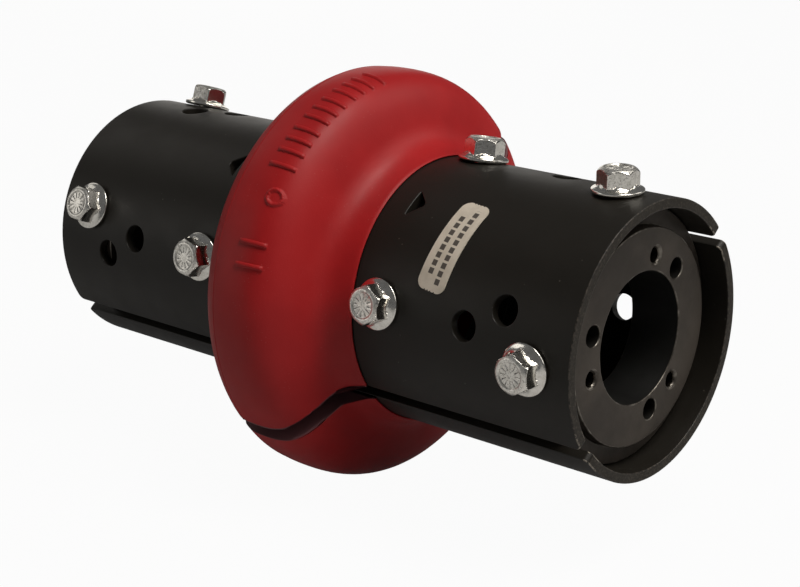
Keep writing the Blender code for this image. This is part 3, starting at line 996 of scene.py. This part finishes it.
bpy.ops.mesh.primitive_cylinder_add(
    vertices=6, radius=corner_radius, depth=HEAD_HEIGHT, location=(0, 0, HEAD_HEIGHT / 2)
)
screw = name_new("screw")
dome = lathe(
    "dome",
    [
        (0, DOME_BASE),
        (corner_radius + DOME_MARGIN, DOME_BASE),
        (corner_radius + DOME_MARGIN, HEAD_HEIGHT - HEAD_DOME_DROP, None, DOME_SIDE_PULL),
        (HEAD_TOP_RADIUS, HEAD_HEIGHT, DOME_TOP_PULL, None),
        (0, HEAD_HEIGHT),
    ],
    HEAD_STEPS,
    axis=(0, 0, 1),
    closed=False,
)
join(screw, dome, "INTERSECT")
flange = lathe(
    "flange",
    [
        (0, 0),
        (FLANGE_RADIUS - FLANGE_BREAK, 0),
        (FLANGE_RADIUS, FLANGE_BREAK),
        (FLANGE_RADIUS, FLANGE_RIM),
        (
            FLANGE_RADIUS - FLANGE_SHOULDER[0],
            FLANGE_RIM + FLANGE_SHOULDER[1],
            None,
            FLANGE_SHOULDER_PULL,
        ),
        (corner_radius - FLANGE_TUCK, cone_top, FLANGE_TUCK_PULL, None),
        (0, cone_top),
    ],
    HEAD_STEPS,
    axis=(0, 0, 1),
    closed=False,
)
join(screw, flange)
open_up(screw)
round_sharp(HEAD_EDGE, HEAD_SHARP_ANGLE, HEAD_EDGE_SEGMENTS)
face_out()
close_up()
bpy.ops.mesh.primitive_cylinder_add(
    vertices=DISC_SIDES,
    radius=DISC_RADIUS,
    depth=DISC_CUTTER,
    location=(0, 0, HEAD_HEIGHT + DISC_CUTTER / 2 - DISC_DEPTH),
)
join(screw, name_new("sink"), "DIFFERENCE")
for i in range(TICKS):
    tick_place = (TICK_MIDDLE, 0, HEAD_HEIGHT - DISC_DEPTH)
    bpy.ops.mesh.primitive_cube_add(size=1, location=tick_place, scale=TICK_SIZE)
    tick = name_new("tick")
    settle(tick, Matrix.Rotation(2 * math.pi * i / TICKS, 4, "Z"))
    join(screw, tick, "DIFFERENCE")
shank_length = SCREW_LENGTH + SHANK_OVERLAP
shank = threaded_rod("shank", SCREW_RADIUS, SCREW_THREAD_DEPTH, SCREW_PITCH, shank_length)
settle(shank, Matrix.Translation((0, 0, -SCREW_LENGTH)))
join(screw, shank)
smooth(screw)

zinc = Finish("bright_zinc")
head_top = zinc.radius().over(screw_seat + HEAD_HEIGHT - 0.0006, 0.0004)
on_head = zinc.radius().over(screw_seat + FLANGE_RIM + FLANGE_CONE, 0.0003)
dull = zinc.noise(700, detail=4, rough=0.65)
# Dark mottling over the plating, heavier on the head: partly stains, partly painted reflection of dark
# surroundings mirrored in the heads.
stain_and_dark_reflection = zinc.noise(2100, rough=0.65).over(0.52, 0.12) * (0.2 + 0.4 * on_head)
plate = zinc.mix(dull.over(0.40, 0.30), ZINC_LIGHT, ZINC_DULL)
zinc.surface(
    Base_Color=zinc.mix(stain_and_dark_reflection, plate, ZINC_STAIN_AND_DARK_REFLECTION),
    Roughness=0.10 + 0.14 * dull + 0.20 * head_top,
    Metallic=1.0,
    Normal=zinc.bump(zinc.noise(900, rough=0.6), distance=0.00005, strength=0.45),
)
give(screw, zinc.material)

# Each row has its place along the shaft, its stagger and its heads' turns in degrees.
rows = (
    ("front", "ring", RING_ROW, 0.0, (9, 58, 20)),
    ("front", "hub", HUB_ROW, STAGGER, (5, 0, 37)),
    ("rear", "ring", -RING_ROW, 0.0, (30, 16, 44)),
    ("rear", "hub", -HUB_ROW, -STAGGER, (42, 24, 11)),
)
for end_name, row_name, x, stagger, head_turns in rows:
    for number, (line, head_turn) in enumerate(zip(SCREW_LINES, head_turns), 1):
        angle = FIRST_LINE + stagger + line * LINE_TURN
        placed = copy_of(screw, f"{end_name}_{row_name}_flange_screw_{number}")
        spin = Matrix.Rotation(math.radians(head_turn), 4, "Z")
        settle(placed, radial_place(x, angle, screw_seat) @ spin)
        dress(placed, f"{end_name}_{row_name}_screw_{number}")
bpy.data.objects.remove(screw)

# Label
# A cream film sticker on the upper front shoe, die cut with round corners, and nibbled at its ends by
# the cutter. It carries two rows of plain dashes.
LABEL_MIDDLE = 0.0508
LABEL_ANGLE = math.radians(140.5)
LABEL_LENGTH = 0.0262
LABEL_WIDTH = 0.0090
LABEL_CORNER = 0.0025
LABEL_TILT = math.radians(7)
LABEL_THICKNESS = 0.0002
LABEL_LIFT = 0.00005
LABEL_STRIPS = 24
LABEL_CORNER_SEGMENTS = 10
LABEL_SHARP_ANGLE = math.radians(40)
NIBBLE_RADIUS = 0.00028
NIBBLE_SIDES = 12
NIBBLES = (-0.0016, -0.0006, 0.0003, 0.0015)
MAP_UNITS = 1000
DASH_ROW = 1.55
DASH_HALF_HEIGHT = 0.70
DASH_PITCH = 2.2
DASH_SHARE = 0.68
LONG_ROW_REACH = 11.0
SHORT_ROW_REACH = 8.8
SHORT_ROW_SHIFT = 0.35
PRINT_BLUR = 0.1
FILM_LIGHT = (0.80, 0.72, 0.61)
FILM_GRIMY = (0.66, 0.59, 0.49)
PRINT_INK = (0.03, 0.022, 0.02)


def is_label_corner(edge):
    """True for an edge through the film's thickness."""
    return abs(edge.verts[0].co.y - edge.verts[1].co.y) > LABEL_THICKNESS / 2


bpy.ops.mesh.primitive_cube_add(size=1, scale=(LABEL_WIDTH, LABEL_THICKNESS, LABEL_LENGTH))
sticker = name_new("sticker")
open_up(sticker)
pick(sticker, "EDGE", is_label_corner)
bpy.ops.mesh.bevel(offset=LABEL_CORNER, segments=LABEL_CORNER_SEGMENTS, affect="EDGES")
close_up()
for end in (-1, 1):
    for x in NIBBLES:
        bpy.ops.mesh.primitive_cylinder_add(
            vertices=NIBBLE_SIDES,
            radius=NIBBLE_RADIUS,
            depth=3 * LABEL_THICKNESS,
            location=(x, 0, end * LABEL_LENGTH / 2),
            rotation=(math.pi / 2, 0, 0),
        )
        join(sticker, name_new("nibble"), "DIFFERENCE")
flat_map = sticker.data.uv_layers.new(name="flat")
for loop, spot in zip(sticker.data.loops, flat_map.data):
    corner = sticker.data.vertices[loop.vertex_index].co
    spot.uv = (corner.x * MAP_UNITS, corner.z * MAP_UNITS)
open_up(sticker)
slice_up(2, -LABEL_LENGTH / 2, LABEL_LENGTH / 2, LABEL_STRIPS)
face_out()
close_up()
settle(sticker, Matrix.Translation((LABEL_MIDDLE, 0, 0)) @ Matrix.Rotation(LABEL_TILT, 4, "Y"))
roll(sticker, SHOE_OUTER_RADIUS + LABEL_LIFT + LABEL_THICKNESS / 2, LABEL_ANGLE)
sticker.data.shade_smooth()
sticker.data.set_sharp_from_angle(angle=LABEL_SHARP_ANGLE)

film = Finish("cream_film")
flat = film.node("ShaderNodeUVMap", {"uv_map": "flat"})
across = film.node("ShaderNodeSeparateXYZ", {}, flat, output=0)
length = film.node("ShaderNodeSeparateXYZ", {}, flat, output=1)
row = (across.size() - DASH_ROW).size().under(DASH_HALF_HEIGHT, 0.12)
dash = (length / DASH_PITCH).math("FRACT").under(DASH_SHARE, 0.04)
past_short_row = (length + SHORT_ROW_SHIFT).size().over(SHORT_ROW_REACH, PRINT_BLUR)
short_row = 1 - across.under(0, PRINT_BLUR) * past_short_row
print_mask = row * dash * short_row * length.size().under(LONG_ROW_REACH, PRINT_BLUR)
grime = film.noise(220, detail=4, rough=0.6)
cream = film.mix(grime.over(0.35, 0.4), FILM_LIGHT, FILM_GRIMY)
film.surface(
    Base_Color=film.mix(print_mask * 0.9, cream, PRINT_INK),
    Roughness=0.5,
    Normal=film.bump(film.noise(1200, detail=2), distance=0.00002, strength=0.4),
)
give(sticker, film.material)
dress(sticker, "shoe_label")
